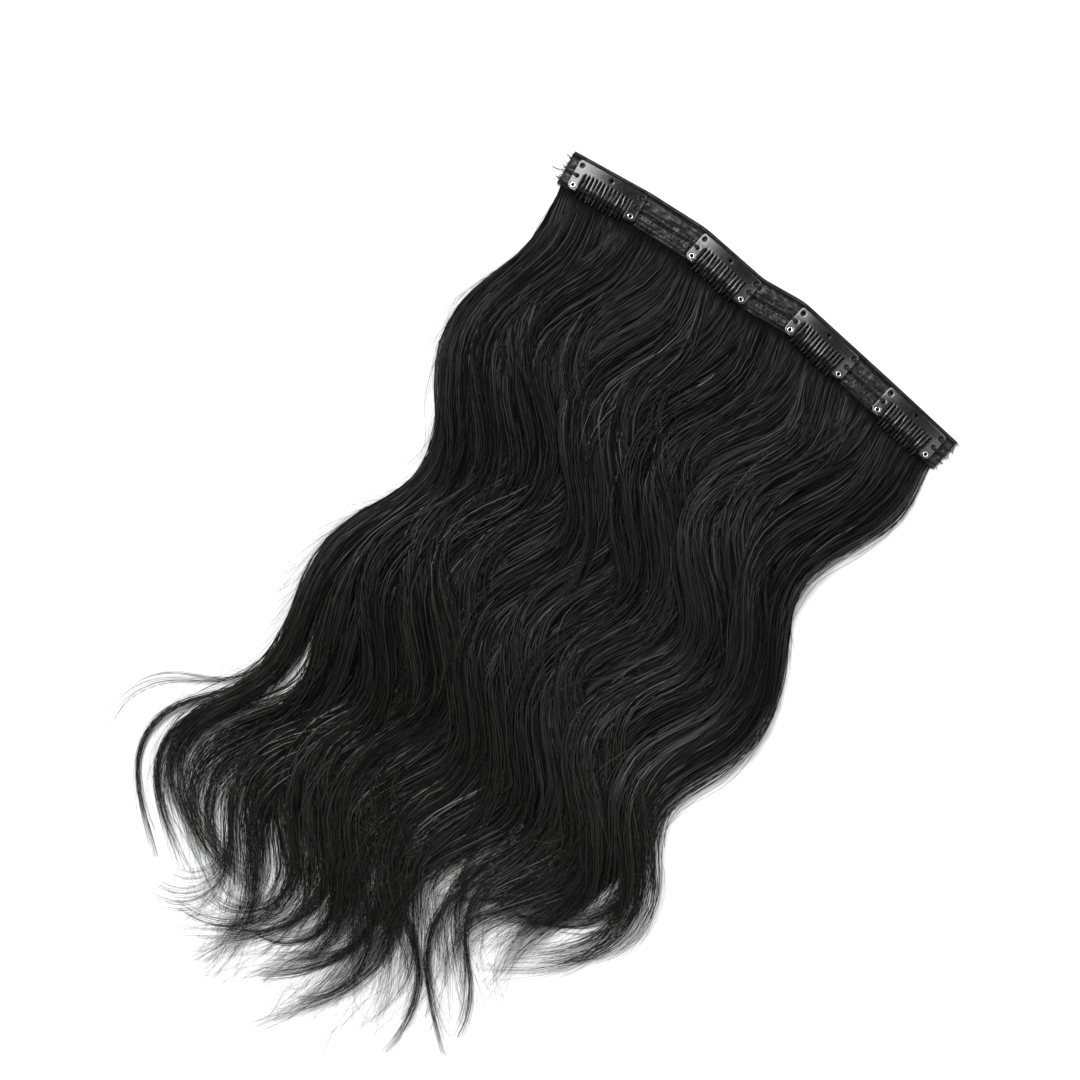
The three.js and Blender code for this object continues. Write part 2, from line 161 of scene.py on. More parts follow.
# Locks from left to right: at is a share of the band's length, turn the mean heading in degrees, which lean
# and flick change further down, and thins and gathers are the shares of a lock's length where it starts to
# thin and its ends start to gather into wisps
LOCK_COLUMNS = ("at", "reach", "lag", "swing", "turn", "lean", "flick", "width", "thins", "level", "gathers")
LOCKS = [
    (0.018, 345, 6, 27, 13, -24, 62, 10, 0.45, 0.9, 0.7),
    (0.045, 370, 8, 31, 15, -21, 66, 16, 0.6, 0.95, 0.7),
    (0.085, 383, 6, 37, 15, -10, 24, 19, 0.76, 1.08, 0.78),
    (0.135, 387, -9, 39, 15, -5, 8, 22, 0.8, 0.86, 0.8),
    (0.2, 383, 0, 41, 14, -1, 12, 23, 0.8, 1.06, 0.8),
    (0.28, 394, -11, 41, 13, -2, 14, 24, 0.78, 0.88, 0.76),
    (0.365, 377, 4, 38, 13, -2, 3, 24, 0.76, 1.08, 0.74),
    (0.45, 371, -4, 38, 13, 1, 10, 24, 0.74, 0.86, 0.72),
    (0.535, 359, 11, 37, 12, 1, 10, 24, 0.76, 1.04, 0.7),
    (0.62, 346, 3, 40, 11, 1, 14, 24, 0.78, 0.88, 0.7),
    (0.705, 330, 14, 42, 10, 0, 12, 24, 0.8, 1.08, 0.7),
    (0.79, 314, 3, 39, 8, 0, -10, 23, 0.8, 0.9, 0.7),
    (0.875, 300, 9, 32, 6, 2, -14, 20, 0.78, 1.0, 0.7),
    (0.955, 270, 8, 30, 4, 4, 0, 16, 0.72, 0.9, 0.7),
]
LOCK_VALUES = Values(**dict(zip(LOCK_COLUMNS, np.array(LOCKS).T[..., None])))

# Strands: tresses in a lock, clumps round a tress, strands in a clump, rings along a strand and its sides
TRESSES = 4
CLUMPS = 7
STRANDS = 7
STATIONS = 39
SIDES = 3
STRAND_PIECES = 5
CLUMP_ARC = math.radians(105)
FULL_TURN = (0, 2 * math.pi)
# Random values in the order of their draws: the spread of a normal draw, or the limits of an even one. Two
# tresses that end in one wisp share the paired ones
TRESS_DRAWS = dict(
    across=(0.2, 0.8), lag=5, swing=3.4, turn=1.0, flick=7, drift=4, curl=15, tight=(0.7, 1.02), wander=4.5,
    level=(0.84, 1.04), end=(0.95, 1.06), fat=(0.8, 1.25), sway=(0.5, 2.8), beat=(85, 210), start=FULL_TURN,
    bob=(0.3, 1.0), twist=0.7, tone=(0.24, 0.66),
)
PAIRED = ("flick", "drift", "curl", "tight", "wander")
CLUMP_DRAWS = dict(
    angle=(0.05, 0.95), depth=(0.7, 1.05), tone=0.08, end=(0.93, 1.02), lag=1.2, wander=2.2, drift=1.5,
    flick=2.5,
)
STRAND_DRAWS = dict(
    stray=(0, 1), lag=1.0, swing=0.8, turn=0.2, flick=1.2, hooked=(0, 1), curl=4, end=(0, 1),
    under_end=(0.04, 0.28), under_across=(-1.06, 1.06), angle=0.3, twist=0.35, depth=0.06, frizz=(0.06, 0.3),
    frizz_beat=(19, 46), frizz_start=FULL_TURN, wander=0.8, drift=0.4, uneven=0.18, under_thick=(0.5, 0.8),
    thick=(0.24, 0.4), roll=FULL_TURN, roll_twist=1.2, tone=0.3, patch=(30, 90), patch_start=FULL_TURN,
)
# Roots: tucked under the band, flat and with painted shade until the hair leaves its place there and gains
# body
ROOT = Values(tuck=1.5, inset=3.2, leaves=30, body=(0.0, 0.18), spread=2.6, dark=0.34, lightens=(0.06, 0.4))
# Tresses: width and dome at the root and below it, and how close the ends gather into wisps and to a point
TRESS = Values(reach=0.97, width=(1.12, 0.95), dome=(0.35, 2.5), sides=0.7, gathers=0.9, point=0.94)
GATHER_SPAN = 0.22
# Stray strands leave their clump, and strands under the tresses thin out towards the ends as a web of hair
STRAY = Values(share=0.12, loose=2.5, gathers=0.35, thick=0.7, tone=0.25)
# Strands under the tresses get a darker tone as painted shade under the top strands
UNDER = Values(strands=2, held=0.35, level=0.9, root=0.5, thins=(-0.06, 0.18), thin=0.85, tone=0.25)
# Ends of the strands by share of the length, with painted light that lightens their tone, and their small
# waves and patches of tone
END = Values(shortest=0.8, thins=(0.84, 1), thin=0.78, drifts=(0.66, 1.02), tone=0.42, lightens=(0.42, 0.8))
LONGEST = 1.012
FRIZZ = Values(grows=(0.01, 0.06), rise=1.3)
PATCH_TONE = 0.16
STRAND_FLOOR = 0.42
# Depth of the hair: height and width as shares of the hair's, and ends against where the strands gather
MASS = Values(
    level=0.68, full=1.4, least=0.02, width=0.92, ends=(-0.16, 0.08), floor=0.2, around=18, stations=60,
    underside=(-0.5, 0.5),
)
# Loose strands: number, locks and place across, start as a share of the length, length, turn away in degrees,
# rise and how far they come down to the surface
FLYAWAYS = [
    (120, ((0, 2), (-1.1, -0.7)), (0.06, 0.6), (30, 95), (-58, 8), (0, 2), 0.6),
    (44, ((12, 14), (0.8, 1.05)), (0.1, 0.6), (15, 50), (-4, 24), (0, 2), 0.6),
    (120, ((0, 12), (-1, 1)), (0.7, 0.9), (45, 100), (-70, 70), (0, 2), 0.7),
    (60, ((0, 3), (-1.1, 1)), (0.5, 0.9), (50, 100), (-40, 50), (0, 2), 0.7),
    (220, ((0, 12), (-1.1, 1.1)), (0.5, 0.85), (60, 120), (-35, 35), (0, 1.5), 0.4),
    (200, ((1, 13), (-0.9, 0.9)), (0.08, 0.75), (40, 110), (-24, 24), (0.8, 2.2), 0),
]
# Their form, with level as a share of the hair's height, and the limits in -X and -Y where they are dropped
LOOSE = Values(
    level=(0.9, 1.02), ease=(0.8, 2), wobble=26, waves=(0.5, 2), longest=1.016, shortest=0.04,
    falls=(0.1, 0.9), floor=0.25, taper=0.8, radius=(0.045, 0.09), tone=(0.55, 1), stations=17, lead=120,
)
LOOSE_LIMIT = np.array((-114.5, -373.0))
# Wisps that part from the ends: lock, place across it, start as a share of the length, length, sideways bow
# and hook at the end in degrees, and number of strands
WISPS = [
    (0, -0.5, 0.69, 130, -9, -8, 42),
    (0, 0.3, 0.7, 120, -4, -2, 42),
    (0, -0.9, 0.72, 80, -22, -36, 11),
    (1, -0.8, 0.72, 110, -8, 10, 28),
    (2, -0.4, 0.8, 85, 6, -100, 36),
    (3, -0.6, 0.82, 85, 4, -95, 36),
    (3, 0.5, 0.84, 85, 4, -70, 28),
    (4, 0.1, 0.84, 85, 8, -90, 34),
    (5, 0.3, 0.84, 85, 4, -74, 34),
    (6, 0.2, 0.84, 85, 8, -50, 28),
    (7, -0.3, 0.82, 85, 8, -10, 34),
    (8, 0.2, 0.82, 85, -10, 30, 34),
    (9, 0.3, 0.82, 85, 10, -24, 28),
    (11, 0.5, 0.74, 100, 4, -76, 31),
    (12, 0.6, 0.7, 110, 8, -84, 34),
    (13, 0.2, 0.6, 120, 10, -92, 34),
    (13, 0.9, 0.5, 140, 20, -84, 36),
]
WISP_DRAWS = dict(across=0.06, level=(0.9, 1), start=0.006, length=(0.6, 1), hook=2, bow=0.6)
WISP = Values(ease=1.7, wobble=1, fall=0.8, radius=(0.085, 0.14))

# View from straight above, in metres: its turn, middle and width, and its directions in the frame
VIEW_TURN = math.radians(38.4)
VIEW_MIDDLE = (-0.01104, -0.13619)
VIEW_WIDTH = 0.45
CAMERA_LENS = 100
IMAGE_RIGHT = (math.cos(VIEW_TURN), math.sin(VIEW_TURN), 0)
IMAGE_UP = (-math.sin(VIEW_TURN), math.cos(VIEW_TURN), 0)
# Softboxes: their aim and distance, then place right and up of the picture's middle, tilt from straight
# above, watts and size
LAMP_AIM = (-0.011, -0.136, 0)
LAMP_AWAY = 2.4
SOFTBOXES = [
    ("softbox_top", -0.36, 0.93, 30, 66, 1.0),
    ("softbox_right", 1, 0, 38, 17, 1.1),
    ("softbox_low", -0.5, -0.87, 42, 6, 0.7),
]
WORLD_STRENGTH = 0.16
FLOOR_HALF = 4.0


# Small helpers

def smoothstep(value, low, high):
    t = np.clip((value - low) / (high - low), 0, 1)
    return t * t * (3 - 2 * t)


def mix(low, high, share):
    return low + (high - low) * share


def shares(count):
    return np.linspace(0, 1, count)[None, :]


def unit(vectors, least=0.0):
    return vectors / (np.linalg.norm(vectors, axis=-1, keepdims=True) + least)


def moving_mean(line, reach):
    window = 2 * reach + 1
    return np.convolve(np.pad(line, reach, mode="edge"), np.ones(window) / window, "valid")


def vary(count, spread):
    """One normal draw for each row, as a column."""
    return rng.normal(0, spread, (count, 1))


def between(count, low, high):
    """One even draw for each row, as a column."""
    return rng.uniform(low, high, (count, 1))


def draw_columns(count, draws, paired=()):
    """Columns of random values by name: limits give even draws and a spread normal ones."""
    columns = {}
    for name, values in draws.items():
        shared = 2 if name in paired else 1
        limits = isinstance(values, tuple)
        column = between(count // shared, *values) if limits else vary(count // shared, values)
        columns[name] = np.repeat(column, shared, axis=0)
    return Values(**columns)


def rows_of(columns, index):
    """Rows of columns with these indices, one for each strand."""
    return Values(**{name: column[index] for name, column in vars(columns).items()})


def net(index):
    """Quads between neighbouring closed rings of points: the last axis of index goes round a ring."""
    next_one = np.roll(index, -1, axis=-1)
    corners = [index[..., :-1, :], next_one[..., :-1, :], next_one[..., 1:, :], index[..., 1:, :]]
    return np.stack(corners, -1).reshape(-1, 4)


def tubes(paths, radius, roll, sides):
    """Points, faces and map of closed tubes along many paths at once."""
    count, stations, _ = paths.shape
    tangent = unit(np.gradient(paths, axis=1))
    level = unit(np.cross(tangent, [0.0, 0.0, 1.0]), 1e-9)
    upwards = np.cross(level, tangent)
    angle = roll[..., None] + 2 * np.pi * np.arange(sides) / sides
    ring = np.cos(angle)[..., None] * level[:, :, None] + np.sin(angle)[..., None] * upwards[:, :, None]
    points = paths[:, :, None] + radius[:, :, None, None] * ring
    index = np.arange(count * stations * sides).reshape(count, stations, sides)
    faces = [net(index)[:, [0, 3, 2, 1]], index[:, 0], index[:, -1, ::-1]]
    u = (np.arange(count)[:, None, None] + 0.5) / count
    v = np.linspace(0.002, 0.998, stations)[None, :, None]
    uv = np.stack(np.broadcast_arrays(u, v, index)[:2], -1)
    return points.reshape(-1, 3), faces, uv.reshape(-1, 2)


def add_mesh(name, points, faces, material, uv, tone=None, sharp_rings=None):
    """Piece from points in millimetres and arrays of faces, with a map and a tone for each point.

    sharp_rings is the number of points in a ring of a tube whose long edges stay sharp.
    """
    mesh = bpy.data.meshes.new(name)
    corner_points = np.concatenate([group.ravel() for group in faces])
    sizes = np.concatenate([np.full(len(group), group.shape[1]) for group in faces])
    mesh.vertices.add(len(points))
    mesh.vertices.foreach_set("co", (points * MM).astype(np.float32).ravel())
    mesh.loops.add(len(corner_points))
    mesh.loops.foreach_set("vertex_index", corner_points.astype(np.int32))
    mesh.polygons.add(len(sizes))
    mesh.polygons.foreach_set("loop_start", (np.cumsum(sizes) - sizes).astype(np.int32))
    mesh.uv_layers.new(name="OFBake").data.foreach_set("uv", uv[corner_points].astype(np.float32).ravel())
    if tone is not None:
        mesh.attributes.new("tone", "FLOAT", "POINT").data.foreach_set("value", tone.astype(np.float32))
    mesh.update(calc_edges=True)
    mesh.validate()
    mesh.shade_smooth()
    if sharp_rings:
        ends = np.empty(2 * len(mesh.edges), np.int32)
        mesh.edges.foreach_get("vertices", ends)
        ring = ends.reshape(-1, 2) // sharp_rings
        sharp = mesh.attributes.new("sharp_edge", "BOOLEAN", "EDGE")
        sharp.data.foreach_set("value", ring[:, 0] != ring[:, 1])
    mesh.materials.append(material)
    piece = bpy.data.objects.new(name, mesh)
    bpy.context.scene.collection.objects.link(piece)
    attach(piece, "root")
    return piece


def add_thread(name, paths, radius, material, sides):
    """Piece of round threads along paths."""
    points, faces, uv = tubes(paths, radius, np.zeros(radius.shape), sides)
    return add_mesh(name, points, faces, material, uv)


# Materials

def set_inputs(node, **values):
    """Sockets of a node set to constants, or linked where a value is the output of another node."""
    for name, value in values.items():
        socket = node.inputs[name.replace("_", " ")]
        if isinstance(value, bpy.types.NodeSocket):
            node.id_data.links.new(value, socket)
        else:
            socket.default_value = value


def new_material(name, **values):
    """Node material with its constant values set on the shader's own sockets."""
    material = bpy.data.materials.new(name)
    material.use_nodes = True
    shader = material.node_tree.nodes["Principled BSDF"]
    set_inputs(shader, **values)
    return material, shader


def add_node(shader, kind, output, **values):
    """Output of a new node beside the shader."""
    node = shader.id_data.nodes.new(f"ShaderNode{kind}")
    set_inputs(node, **values)
    return node.outputs[output]


def add_noise(shader, size, detail=2.0):
    """Noise whose grains are about size millimetres, in the part's own coordinates."""
    where = add_node(shader, "TexCoord", "Object")
    return add_node(shader, "TexNoise", "Fac", Vector=where, Scale=1 / (size * MM), Detail=detail)


def ramp(shader, value, low, high, low_at=0.3, high_at=0.7):
    """Colour or grey level that runs from low to high as a value rises."""
    level = add_node(shader, "ValToRGB", "Color", Fac=value)
    for element, place, color in zip(level.node.color_ramp.elements, (low_at, high_at), (low, high)):
        element.position = place
        element.color = (*color, 1) if isinstance(color, tuple) else (color, color, color, 1)
    return level


def bump(shader, height, distance, strength=1.0):
    """Normals of a relief that is distance millimetres high."""
    return add_node(shader, "Bump", "Normal", Height=height, Distance=distance * MM, Strength=strength)


def hair_material():
    """Strands: near black, each a little lighter or darker and more or less glossy by its tone, which also
    holds painted shade and painted light.
    """
    material, shader = new_material("hair", Specular_IOR_Level=0.23)
    tone = add_node(shader, "Attribute", "Fac")
    tone.node.attribute_name = "tone"
    color = ramp(shader, tone, (0.002, 0.0019, 0.0019), (0.015, 0.0141, 0.0136), 0, 1)
    gloss = add_node(shader, "MapRange", "Result", Value=tone, To_Min=0.56, To_Max=0.33)
    set_inputs(shader, Base_Color=color, Roughness=gloss)
    return material


def shaded_core_material():
    """Depth of the hair between the strands: painted darker as the shade in its depth, with streaks along the
    flow.
    """
    material, shader = new_material("hair_core_shaded", Specular_IOR_Level=0.12, Roughness=0.5)
    where = add_node(shader, "UVMap", "UV")
    where.node.uv_map = "OFBake"
    stretched = add_node(shader, "Mapping", "Vector", Vector=where, Scale=(800, 7, 1))
    streaks = add_node(shader, "TexNoise", "Fac", Vector=stretched, Scale=1, Detail=3)
    color = ramp(shader, streaks, 0.0005, (0.006, 0.0057, 0.0054), 0.35, 0.7)
    set_inputs(shader, Base_Color=color, Normal=bump(shader, streaks, 0.25))
    return material


def cloth_material():
    """Satin cloth of the band: fine weave, soft gloss that changes from place to place."""
    material, shader = new_material("band_cloth", Specular_IOR_Level=0.33, Sheen_Weight=0.02)
    color = ramp(shader, add_noise(shader, 6, 3), (0.001, 0.001, 0.0011), (0.004, 0.004, 0.0042))
    gloss = ramp(shader, add_noise(shader, 2.2), 0.28, 0.44)
    where = add_node(shader, "TexCoord", "Object")
    weave = add_node(shader, "Math", "Value")
    weave.node.operation = "MAXIMUM"
    for turn, socket in zip((38, -52), weave.node.inputs):
        turned = add_node(shader, "Mapping", "Vector", Vector=where, Rotation=(0, 0, math.radians(turn)))
        threads = add_node(shader, "TexWave", "Fac", Vector=turned, Scale=620, Distortion=0.6)
        shader.id_data.links.new(threads, socket)
    set_inputs(shader, Base_Color=color, Roughness=gloss, Normal=bump(shader, weave, 0.05, 0.5))
    return material


def thread_material():
    """Black polyester thread, twisted."""
    material, shader = new_material("thread", Specular_IOR_Level=0.4)
    grain = add_noise(shader, 0.35, 1)
    color = ramp(shader, grain, (0.004, 0.004, 0.0042), (0.02, 0.02, 0.021))
    gloss = ramp(shader, add_noise(shader, 1.5), 0.35, 0.5)
    set_inputs(shader, Base_Color=color, Roughness=gloss, Normal=bump(shader, grain, 0.08, 0.6))
    return material


def paint_material(name, specular, rough):
    """Black paint on steel, with faint waves and uneven gloss."""
    material, shader = new_material(name, Specular_IOR_Level=specular)
    color = ramp(shader, add_noise(shader, 5, 4), (0.003, 0.003, 0.0032), (0.007, 0.007, 0.0073))
    gloss = ramp(shader, add_noise(shader, 1.6, 4), rough, rough + 0.08)
    waves = bump(shader, add_noise(shader, 3.5, 1), 0.008, 0.3)
    set_inputs(shader, Base_Color=color, Roughness=gloss, Normal=waves)
    return material


def plating_material():
    """Bright nickel of the eyelets, with fine scratches."""
    material, shader = new_material("rivet_plate", Metallic=1.0)
    color = ramp(shader, add_noise(shader, 1.2, 3), (0.5, 0.5, 0.49), (0.74, 0.74, 0.72))
    gloss = ramp(shader, add_noise(shader, 0.5, 3), 0.14, 0.26)
    scratches = bump(shader, add_noise(shader, 0.3, 2), 0.015, 0.5)
    set_inputs(shader, Base_Color=color, Roughness=gloss, Normal=scratches)
    return material


# Band centre line

RUN_STARTS = np.cumsum([0] + [length for length, _ in BAND_RUNS[:-1]])


def band_heading(distance):
    """Heading in radians at a distance from the left end, averaged over the bend length."""
    low = np.clip(np.asarray(distance, float) - BAND_BEND / 2, 0, BAND_LENGTH - BAND_BEND)
    turned = np.zeros_like(low)
    for start, (length, heading) in zip(RUN_STARTS, BAND_RUNS):
        shared = np.minimum(low + BAND_BEND, start + length) - np.maximum(low, start)
        turned += np.maximum(shared, 0) * heading
    return np.radians(turned / BAND_BEND)


def centre_line(step=0.25, beyond=20):
    """Distances from the left end and the points of the band's centre line there."""
    at = np.arange(-beyond, BAND_LENGTH + beyond, step)
    heading = band_heading(at + step / 2)
    x = np.concatenate([[0], np.cumsum(np.cos(heading) * step)[:-1]])
    y = np.concatenate([[0], np.cumsum(np.sin(heading) * step)[:-1]])
    middle = BAND_LENGTH / 2
    return at, x - np.interp(middle, at, x), y - np.interp(middle, at, y)


LINE = centre_line()


def band_point(distance, below):
    """Point of the band at a distance from its left end, and below its centre line towards the hair."""
    at, x, y = LINE
    heading = band_heading(distance)
    point_x = np.interp(distance, at, x) + np.sin(heading) * below
    return point_x, np.interp(distance, at, y) - np.cos(heading) * below


# Flow of the hair

def wave_phase(lock, run):
    return 2 * np.pi * (run - WAVE.first_bend - lock.lag) / WAVE.length


def ahead(heading):
    """Directions of headings, which are in radians from -Y towards +X."""
    return np.stack([np.sin(heading), -np.cos(heading)], -1)


def sideways(heading):
    return np.stack([np.cos(heading), np.sin(heading)], -1)


def headings(lock, run):
    """Heading of each strand along its run."""
    share = run / lock.reach
    grow = 1 - np.exp(-np.maximum(run, 0) / WAVE.ease_in)
    calm = 1 - WAVE.calm * smoothstep(share, WAVE.calm_from, 1)
    swing = lock.swing * np.cos(wave_phase(lock, run)) * grow * calm
    turn = lock.turn - swing
    for name, span in TURNS.items():
        turn = turn + getattr(lock, name, 0) * smoothstep(share, *span)
    return np.radians(turn)


def heights(lock, run):
    """Height of the hair's top along a run, raised and lowered by the wave."""
    share = np.clip(run / lock.reach, 0, 1)
    lift = WAVE.lift * smoothstep(run, WAVE.lift_from, WAVE.lift_to)
    wave = 1 + lift * np.sin(wave_phase(lock, run) - WAVE.lift_turn)
    return lock.level * np.interp(share, HEIGHT_AT, HEIGHT) * wave


def half_widths(lock, run):
    share = run / lock.reach
    thin = 1 - (1 - TIP.width) * smoothstep(share, lock.thins, TIP.at)
    return lock.width / 2 * thin * (1 + LOWER_SPREAD.more * smoothstep(share, *LOWER_SPREAD.over))


def flow_paths(lock, run, across, up):
    """Paths and headings of strands: across is a place in the lock from -1 to 1, up a share of its height."""
    heading = headings(lock, run)
    first = heading[:, :1]
    middle = (heading[:, 1:] + heading[:, :-1]) / 2
    steps = ahead(middle) * np.diff(run, axis=1)[..., None]
    flat = np.concatenate([np.zeros((len(run), 1, 2)), np.cumsum(steps, axis=1)], axis=1)
    flat += run[:, :1, None] * ahead(first)
    lock_at = lock.at * BAND_LENGTH
    out = across[:, :1] * (lock.width / 2)
    own_at = np.clip(lock_at + out, ROOT.inset, BAND_LENGTH - ROOT.inset)
    root, own_root = (np.stack(band_point(at, BAND_HEIGHT / 2), -1) for at in (lock_at, own_at))
    fade = np.exp(-np.maximum(run, 0) / ROOT.leaves)[..., None]
    spread = (across * half_widths(lock, run))[..., None] * sideways(heading)
    flat += root + spread + fade * (own_root - (root + out[..., None] * sideways(first)))
    dome = np.maximum(1 - across ** 2, LOCK_LEAST) ** LOCK_ROUND
    height = heights(lock, run) * dome * up
    return np.concatenate([flat, height[..., None]], -1), heading


def tress_columns(locks):
    """Values of the tresses of these locks: how each leaves the flow of its lock."""
    tress = draw_columns(len(locks) * TRESSES, TRESS_DRAWS, PAIRED)
    place = np.tile(np.arange(TRESSES), len(locks))[:, None]
    tress.lock = np.repeat(locks, TRESSES)[:, None]
    tress.across = TRESS.reach * (2 * (place + tress.across) / TRESSES - 1)
    tress.wisp = 2 * (place // 2 + 0.5) / (TRESSES // 2) - 1
    tress.curl = np.array(TIP_CURLS)[tress.lock] + tress.curl
    return tress


def clump_columns(tresses):
    """Values of the clumps of so many tresses: place round the tress, depth in it, tone and end."""
    clump = draw_columns(tresses * CLUMPS, CLUMP_DRAWS)
    place = np.tile(np.arange(CLUMPS), tresses)[:, None]
    clump.angle = CLUMP_ARC * (2 * (place + clump.angle) / CLUMPS - 1)
    return clump


def strands_of(locks):
    """Paths, radii, rolls and tones of the strands of these locks: tresses of clumps of strands."""
    tress = tress_columns(locks)
    clump = clump_columns(len(tress.lock))
    of_clump = np.repeat(np.arange(len(clump.angle)), STRANDS)
    count = len(of_clump)
    draw = draw_columns(count, STRAND_DRAWS)
    group = rows_of(tress, of_clump // CLUMPS)
    own = rows_of(clump, of_clump)
    under = np.tile(np.arange(STRANDS) < UNDER.strands, count // STRANDS)[:, None]
    stray = ~under & (draw.stray < STRAY.share)
    loose = np.where(stray, STRAY.loose, 1.0)
    held = np.where(under, UNDER.held, 1)

    lock = rows_of(LOCK_VALUES, group.lock[:, 0])
    for name in ("lag", "swing", "turn", "flick"):
        shared = getattr(group, name) + getattr(own, name, 0)
        value = getattr(lock, name) + shared * held + getattr(draw, name) * loose
        setattr(lock, name, value)
    lock.curl = group.curl * np.where(under, draw.hooked, 1) + draw.curl * loose
    gathers = lock.gathers
    end = group.end * own.end * mix(END.shortest, 1, draw.end ** 0.5)
    end = np.minimum(np.where(under, gathers + draw.under_end, end), LONGEST)
    run = mix(-ROOT.tuck, lock.reach * end, shares(STATIONS))
    share = run / lock.reach
    tight = np.where(stray, STRAY.gathers, np.where(under, 0, group.tight))
    gather = tight * smoothstep(share, gathers, gathers + GATHER_SPAN)
    across = mix(group.across, group.wisp, TRESS.gathers * gather)
    across = np.where(under, draw.under_across, across)
    paths, heading = flow_paths(lock, run, across, group.level * np.where(under, UNDER.level, 1))

    body = smoothstep(share, *ROOT.body)
    point = 1 - TRESS.point * gather
    half = lock.width / (2 * TRESSES) * group.fat * mix(*TRESS.width, body) * point
    spread = draw.angle * loose * mix(ROOT.spread, 1, body)
    angle = own.angle + spread + (group.twist + draw.twist) * share
    depth = own.depth + draw.depth * loose
    beat = 2 * np.pi * run / group.beat + group.start
    frizz = draw.frizz * loose * smoothstep(share, *FRIZZ.grows)
    frizz_phase = 2 * np.pi * run / draw.frizz_beat + draw.frizz_start
    sway = held * group.sway * (body * np.sin(beat))
    aside = half * depth * np.sin(angle) * ~under + sway + frizz * np.sin(frizz_phase)
    wander = held * group.wander + (own.wander + draw.wander * loose) * point
    aside = aside + wander * smoothstep(share, *WANDER)
    drift = held * group.drift + own.drift * point + draw.drift * loose
    aside = aside + drift * smoothstep(share, *END.drifts) ** 2
    paths[..., :2] += aside[..., None] * sideways(heading)
    dome = mix(*TRESS.dome, body) * point
    bob = group.bob * body * np.cos(beat)
    rise = (dome * (depth * np.cos(angle) - TRESS.sides) + bob) * ~under
    paths[..., 2] += rise + frizz * np.cos(FRIZZ.rise * frizz_phase)
    paths[..., 2] = np.maximum(paths[..., 2] + draw.uneven, STRAND_FLOOR)

    thick = np.where(under, draw.under_thick, draw.thick * np.where(stray, STRAY.thick, 1))
    under_thin = UNDER.thin * smoothstep(share - gathers, *UNDER.thins)
    thin = np.where(under, under_thin, END.thin * smoothstep(share / end, *END.thins))
    thick = thick * (1 - thin) * np.where(under, mix(UNDER.root, 1, body), 1)
    roll = draw.roll + draw.roll_twist * share
    tone = group.tone + own.tone + draw.tone
    # Under-strands are painted darker as shade under the strands above them
    tone = tone + np.where(stray, STRAY.tone, 0) - np.where(under, UNDER.tone, 0)
    tone = tone + PATCH_TONE * np.sin(2 * np.pi * run / draw.patch + draw.patch_start)
    # Painted shade: the tone is darker near the band and lightens further down
    tone = tone - ROOT.dark * (1 - smoothstep(share, *ROOT.lightens))
    # Painted light: the tone is lighter towards the ends
    tone = np.clip(tone + END.tone * smoothstep(share, *END.lightens), 0, 1)
    return paths, thick / 2, roll, tone


def add_hair(name, paths, radius, roll, tone, material):
    """Piece of strands, whose tone has a value for each station."""
    points, faces, uv = tubes(paths, radius, roll, SIDES)
    tone = np.repeat(tone.ravel(), SIDES)
    return add_mesh(name, points, faces, material, uv, tone, sharp_rings=SIDES)


def make_strands(material):
    for number, locks in enumerate(np.array_split(np.arange(len(LOCKS)), STRAND_PIECES), 1):
        piece = add_hair(f"hair_strands_{number}", *strands_of(locks), material)
        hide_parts("hair")


def leave_flow(lock_index, across, level, start, length, drift, ease, bow=0, wobble=LOOSE.wobble):
    """Paths that start in the flow of the hair at a share of the run and turn away from it by drift degrees.

    ease is the power that the turn grows by, bow turns them away and back, wobble spreads their own waves.
    """
    count = len(lock_index)
    lock = rows_of(LOCK_VALUES, lock_index)
    lead = lock.reach * start * shares(LOOSE.lead)
    into, _ = flow_paths(lock, lead, across + 0 * lead, level)
    along = shares(LOOSE.stations)
    length = np.minimum(length, lock.reach * np.maximum(LOOSE.longest - start, LOOSE.shortest))
    run = lock.reach * start + length * along
    waves = vary(count, wobble)
    waves = waves * np.sin(2 * np.pi * (along * between(count, *LOOSE.waves) + between(count, 0, 1)))
    turn = drift * along ** ease + bow * np.sin(np.pi * along) + waves * along
    heading = headings(lock, run) + np.radians(turn)
    steps = ahead(heading) * (length / (LOOSE.stations - 1))[..., None]
    height = heights(lock, run) / heights(lock, run[:, :1]) * into[:, -1:, 2]
    return np.concatenate([into[:, -1:, :2] + np.cumsum(steps, axis=1), height[..., None]], -1), along


def make_flyaways(material):
    """Loose thin strands: some leave the outline, some the ends, and some cross over the top of the hair."""
    groups = []
    for count, (locks, across), share, length, drift, rise, fall in FLYAWAYS:
        lock_index = rng.integers(*locks, count)
        limits = (across, LOOSE.level, share, length, drift, LOOSE.ease)
        paths, along = leave_flow(lock_index, *(between(count, *pair) for pair in limits))
        paths[..., 2] *= 1 - fall * smoothstep(along, *LOOSE.falls)
        paths[..., 2] += between(count, *rise) * np.sin(np.pi * along)
        groups.append(paths[(paths[..., :2].min(axis=1) > LOOSE_LIMIT).all(axis=1)])
    radius = [between(sum(map(len, groups)), *LOOSE.radius)]
    for lock_number, across, start, length, bow, hook, count in WISPS:
        draw = draw_columns(count, WISP_DRAWS)
        paths, along = leave_flow(
            np.full(count, lock_number), across + draw.across, draw.level, start + draw.start,
            length * draw.length, hook + draw.hook, WISP.ease, bow + draw.bow, WISP.wobble,
        )
        paths[..., 2] *= 1 - WISP.fall * smoothstep(along, *LOOSE.falls)
        groups.append(paths)
        radius.append(between(count, *WISP.radius))
    paths = np.concatenate(groups)
    paths[..., 2] = np.maximum(paths[..., 2], LOOSE.floor)
    count, stations, _ = paths.shape
    radius = np.concatenate(radius) * (1 - LOOSE.taper * shares(stations) ** 2)
    roll = np.repeat(between(count, *FULL_TURN), stations, 1)
    tone = np.repeat(between(count, *LOOSE.tone), stations, 1)
    piece = add_hair("hair_flyaways", paths, radius, roll, tone, material)
    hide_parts("hair")


